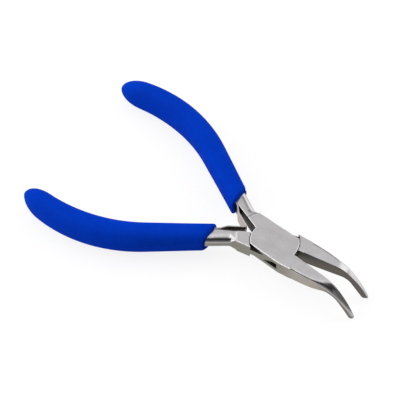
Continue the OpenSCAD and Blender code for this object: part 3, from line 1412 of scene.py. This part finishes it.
@dataclass
class VSpring(HandlePiece):
    """The return spring: one strip bent to a V, its feet under the grips."""

    finish: GroundSteel
    thickness: float = 0.5
    height: float = 5.8
    point_x: float = 12.0
    point_r: float = 0.6
    arm_angle: float = 31.0
    arm_len: float = 5.6
    flare_r: float = 3.0
    flare_angle: float = 52.0
    foot_len: float = 8.0
    foot_clear: float = 0.02
    edge_r: float = 0.12
    edge_steps: int = 2
    bend_steps: int = 8
    foot_steps: int = 3
    blend_reach: float = 2.2

    def arm(self) -> list[tuple[Vector, float]]:
        """Draw the middle line of the arm on +Y.

        Returns:
            Its points and angles, from the point of the V.
        """
        centre = Vector((-self.point_x - self.point_r - self.thickness / 2, 0.0))
        flare_start = ahead(outward(centre, self.arm_angle, self.point_r), self.arm_angle, self.arm_len)
        flare_centre = outward(flare_start, self.arm_angle, self.flare_r)
        line: list[tuple[Vector, float]] = []
        bends = ((centre, self.point_r, 90.0, self.arm_angle),
                 (flare_centre, -self.flare_r, self.arm_angle, self.flare_angle))
        for middle, radius, start, end in bends:
            for share in (0.0, *steps_of(self.bend_steps)):
                angle = start + (end - start) * share
                line.append((outward(middle, angle, radius), angle))
        foot_angle = self.path.core_in_angle + self.joint.half_open
        on_core = turned(self.path.core_inner(0), -self.joint.half_open)
        foot_line = outward(on_core, foot_angle, -self.thickness / 2 - self.foot_clear)
        foot = meeting(line[-1][0], self.flare_angle, foot_line, foot_angle)
        line.append((foot, (self.flare_angle + foot_angle) / 2))
        for share in steps_of(self.foot_steps):
            line.append((ahead(foot, foot_angle, self.foot_len * share), foot_angle))
        return line

    def ring(self, middle: Vector, degrees: float, side: float) -> Ring:
        """Return the strip's section at a point of its middle line.

        Args:
            middle: the point, on the +Y arm.
            degrees: the line's angle there.
            side: 1 for the +Y arm, -1 for the other.

        Returns:
            The ring's points, at rest.
        """
        corners = ((self.edge_r, self.edge_r),) * 4
        section = rounded_ring(self.thickness, self.height, corners, self.edge_steps)
        points: Ring = []
        for across, up in section:
            place = outward(middle, degrees, across - self.thickness / 2)
            z = up + self.joint.half_t - self.height / 2
            points.append(Vector((place[0], side * place[1], z)))
        return points

    def build(self) -> Object:
        """Build and dress the spring.

        Returns:
            The piece, lying between the two halves.
        """
        arm = self.arm()
        rings = [self.ring(point, angle, 1.0) for point, angle in reversed(arm)]
        rings += [self.ring(point, angle, -1.0) for point, angle in arm[1:]]
        obj = piece(tube(rings), "v_spring_strip")
        obj.data.materials.append(self.finish.material())
        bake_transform(obj)
        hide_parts("v_spring")
        return obj


@dataclass
class PivotRivet:
    """The rivet, peened and ground flush, which keeps its solid from the frame."""

    finish: GroundSteel

    def dress(self) -> Object:
        """Give the rivet its finish.

        Returns:
            The rivet.
        """
        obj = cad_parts["pivot_rivet"]
        obj.data.materials.clear()
        obj.data.materials.append(self.finish.material())
        return obj


# Stage


class Shade(Enum):
    """Round patches of the sky: cards that show bright in the steel, and gaps that show dark.

    Each has the way to its middle, the cosines at which it begins and is full, a tone and a blend.
    """

    BACK_CARD = ((0.33, 0.68, 0.655), (0.93, 0.98), 1.7, Blend.LIGHTEN)
    LENS_HOLE = ((0.335, -0.585, 0.74), (0.88, 0.975), 0.03, Blend.COVER)
    FRONT_GAP = ((-0.22, -0.7, 0.68), (0.9, 0.965), 0.02, Blend.COVER)
    LOW_STRIP = ((-0.38, -0.925, 0.0), (0.966, 0.987), 4.0, Blend.LIGHTEN)
    LOW_CARD = ((-0.7, -0.65, 0.3), (0.945, 0.98), 1.6, Blend.LIGHTEN)
    DIM_END = ((0.97, 0.0, 0.25), (0.78, 0.9), 0.18, Blend.COVER)
    SIDE_CARD = ((-0.77, 0.22, 0.6), (0.93, 0.975), 1.6, Blend.LIGHTEN)
    BACK_GAP = ((-0.31, 0.84, 0.45), (0.95, 0.985), 0.2, Blend.COVER)
    TOP_GAP = ((0.5, -0.03, 0.866), (0.91, 0.965), 0.04, Blend.COVER)


@dataclass(frozen=True)
class Lamp:
    """A soft square lamp that faces the tool, in metres and watts."""

    name: str
    place: tuple[float, float, float]
    size: float
    watts: float
    reflected: bool = True

    def hang(self) -> None:
        """Put the lamp in the scene."""
        data = bpy.data.lights.new(self.name, "AREA")
        data.size = self.size
        data.energy = self.watts
        obj = bpy.data.objects.new(self.name, data)
        obj.location = self.place
        obj.rotation_euler = Vector(self.place).to_track_quat("Z", "Y").to_euler()
        obj.visible_glossy = self.reflected
        bpy.context.scene.collection.objects.link(obj)


# The sky's tone by how far a way points up.
SKY_TONES = (
    (0.0, (0.3, 0.295, 0.29, 1)),
    (0.25, (0.3, 0.295, 0.29, 1)),
    (0.5, (0.38, 0.375, 0.37, 1)),
    (0.7, (0.84, 0.84, 0.85, 1)),
    (0.85, (0.93, 0.93, 0.94, 1)),
    (1.0, (1.25, 1.25, 1.25, 1)),
)
# The panel is left out of reflections, so that the flats don't glare.
LAMPS = (
    Lamp("softbox", (-0.65, -0.25, 1.0), 1.0, 2.6),
    Lamp("front_panel", (-0.8, -0.72, 0.5), 0.8, 2.4, reflected=False),
)


@dataclass
class Studio:
    """A white table under soft overhead light, seen as in the photograph."""

    azimuth: float = 33.73
    elevation: float = 53.3
    distance_mm: float = 590.0
    target_mm: tuple[float, float, float] = (-33.8, 2.25, 3.1)
    lens: float = 144.0
    sensor: float = 36.0
    clip_start: float = 0.01
    # The tool lies on its two tips and the undersides of its grips.
    tip_low_mm: Pair = (35.4, -7.3)
    grip_low_mm: Pair = (-80.0, -2.3)
    floor_gap_mm: float = 0.05
    floor_size: float = 8.0
    # The table's paper as it lights the tool, as it is seen, and what it glows then.
    paper: str = "#e6e6e6"
    paper_seen: str = "#7e7e7e"
    paper_glow: float = 0.845
    # The screen behind the tool stands from the table up to a height.
    screen_way: tuple[float, float, float] = (0.17, 0.985, 0.0)
    screen_span: Pair = (0.45, 0.75)
    screen_top: Pair = (0.5, 0.38)
    screen_tone: float = 1.5

    def camera(self) -> None:
        """Set up the camera at the photograph's angle."""
        data = bpy.data.cameras.new("camera")
        data.lens = self.lens
        data.sensor_width = self.sensor
        data.clip_start = self.clip_start
        obj = bpy.data.objects.new("camera", data)
        turn, rise = math.radians(self.azimuth), math.radians(self.elevation)
        back = Vector((
            math.sin(turn) * math.cos(rise), -math.cos(turn) * math.cos(rise), math.sin(rise),
        ))
        obj.location = (Vector(self.target_mm) + self.distance_mm * back) * MM
        obj.rotation_euler = back.to_track_quat("Z", "Y").to_euler()
        bpy.context.scene.collection.objects.link(obj)
        bpy.context.scene.camera = obj

    def floor(self) -> None:
        """Lay the table under the tips and the grips."""
        (x0, z0), (x1, z1) = self.grip_low_mm, self.tip_low_mm
        slope = (z1 - z0) / (x1 - x0)
        bm = bmesh.new()
        bmesh.ops.create_grid(bm, x_segments=1, y_segments=1, size=self.floor_size / 2)
        for vert in bm.verts:
            vert.co.z = (z0 - self.floor_gap_mm - slope * x0) * MM + slope * vert.co.x
        obj = linked(bm, "table")
        obj.data.materials.append(self.table_white())

    def table_white(self) -> Material:
        """Make matte white paper that shows white to the eye and to metal, and keeps a shadow.

        Returns:
            The material.
        """
        made = fresh("white_paper")
        tree = made.node_tree
        light = add(tree, "LightPath").outputs
        shown = light["Is Camera Ray"]
        for ray in ("Is Glossy Ray", "Is Transmission Ray"):
            shown = add(tree, "Math", {0: shown, 1: light[ray]}, operation="MAXIMUM").outputs[0]
        grey = add(tree, "Mix", {
            "Factor": shown, 6: linear(self.paper), 7: linear(self.paper_seen),
        }, data_type="RGBA").outputs[2]
        paper = add(tree, "BsdfDiffuse", {"Color": grey}).outputs[0]
        strength = add(tree, "Math", {0: shown, 1: self.paper_glow}, operation="MULTIPLY").outputs[0]
        glow = add(tree, "Emission", {"Color": (1, 1, 1, 1), "Strength": strength}).outputs[0]
        both = add(tree, "AddShader", {0: paper, 1: glow}).outputs[0]
        add(tree, "OutputMaterial", {"Surface": both})
        return made

    def sky(self) -> None:
        """Light the scene softly from above, with a white screen behind, and lay the shades over it."""
        world = bpy.data.worlds.new("studio")
        bpy.context.scene.world = world
        world.use_nodes = True
        tree = world.node_tree
        tree.nodes.clear()
        way = add(tree, "TexCoord").outputs["Generated"]

        def towards(place: Sequence[float], span: Pair) -> NodeSocket:
            """Measure how far the way looks towards a place.

            Args:
                place: the way to that place.
                span: the cosines between the two at which it begins and is full.

            Returns:
                The measure, from 0 to 1.
            """
            near = add(tree, "VectorMath", {0: way, 1: place}, operation="DOT_PRODUCT").outputs["Value"]
            return add(tree, "MapRange", {
                "Value": near, "From Min": span[0], "From Max": span[1],
            }, interpolation_type="SMOOTHSTEP").outputs["Result"]

        rise = add(tree, "SeparateXYZ", {"Vector": way}).outputs["Z"]
        low = add(tree, "MapRange", {
            "Value": rise, "From Min": self.screen_top[0], "From Max": self.screen_top[1],
        }, interpolation_type="SMOOTHSTEP").outputs["Result"]
        behind = towards(self.screen_way, self.screen_span)
        screen = add(tree, "Math", {0: low, 1: behind}, operation="MULTIPLY").outputs[0]
        layers = [(screen, self.screen_tone, Blend.LIGHTEN)]
        layers += [(towards(*shade.value[:2]), *shade.value[2:]) for shade in Shade]
        colour = add(tree, "ValToRGB", {"Fac": rise}, SKY_TONES).outputs["Color"]
        for share, tone, blend in layers:
            colour = add(tree, "Mix", {
                "Factor": share, 6: colour, 7: (tone, tone, tone, 1.0),
            }, data_type="RGBA", blend_type=blend.value).outputs[2]
        ground = add(tree, "Background", {"Color": colour, "Strength": 1.0})
        add(tree, "OutputWorld", {"Surface": ground.outputs["Background"]})

    def build(self) -> None:
        """Set up the camera, the table and the light."""
        self.camera()
        self.floor()
        self.sky()
        for lamp in LAMPS:
            lamp.hang()
        bpy.context.scene.view_settings.view_transform = "Standard"


def steels(half: Half, turn: float) -> tuple[GroundSteel, ...]:
    """Return a half's finishes: its flats with painted side shade, its broken edges with a painted
    highlight, and painted shade on its cuts and on the faces that meet.

    Args:
        half: which half.
        turn: its turn at rest in degrees, which its ground lines follow.

    Returns:
        The four finishes.
    """
    label = half.name.lower()
    # Painted shade and reflection on the upright faces: dark at the block, lighter along the jaw, dark
    # again at the nose.
    sides = ((8.0, "#85827a"), (14.0, "#a29b94"), (22.0, "#a29b94"), (28.0, "#77706a"))
    duller = (
        # Near white: polish on the broken edges, with a painted highlight on top.
        ("polished_edge_painted_highlight", "#f4f2f1", "#e9e6e5", "#efecea", 0.42),
        # Near black: painted shade in the cuts and on the tang's inner faces.
        ("painted_recess_shade", "#46423f", "#35322f", "#35322f", 0.5),
        # Dark grey: painted shade on the jaw faces that look across at the other jaw.
        ("painted_facing_shade", "#6e6863", "#5f5a55", "#625c57", 0.42),
    )
    return GroundSteel(f"satin_ground_steel_{label}", sides=sides, turn=turn), *(
        GroundSteel(f"{name}_steel_{label}", light, dark, ((0.0, side),), roughness, 0.0, turn)
        for name, light, dark, side, roughness in duller
    )


def main() -> None:
    """Build the pliers piece by piece and set the stage."""
    logging.basicConfig(level=logging.INFO, format="%(name)s: %(message)s")
    Studio().build()
    half_open = JointSizes().half_open
    vinyl = DippedVinyl("dipped_blue_vinyl")
    for half in Half:
        jaws = JawSizes() if half is Half.BOX else HARD_BACK
        forging = ForgedHalf(half, *steels(half, half.turn * half_open), jaws=jaws).build()
        for obj in (forging, DippedGrip(half, vinyl).build()):
            log.info("%s on %s: %d faces", obj.name, half.body, len(obj.data.polygons))
    rivet = PivotRivet(GroundSteel("satin_ground_steel_rivet", turn=-half_open)).dress()
    log.info("%s keeps its solid", rivet.name)
    rolled = GroundSteel(
        "rolled_spring_steel", "#c9c0bb", "#b1a7a2", ((0.0, "#b5aba6"),), roughness=0.34, polish=0.0,
    )
    spring = VSpring(rolled).build()
    log.info("%s: %d faces", spring.name, len(spring.data.polygons))


if __name__ == "__main__":
    main()
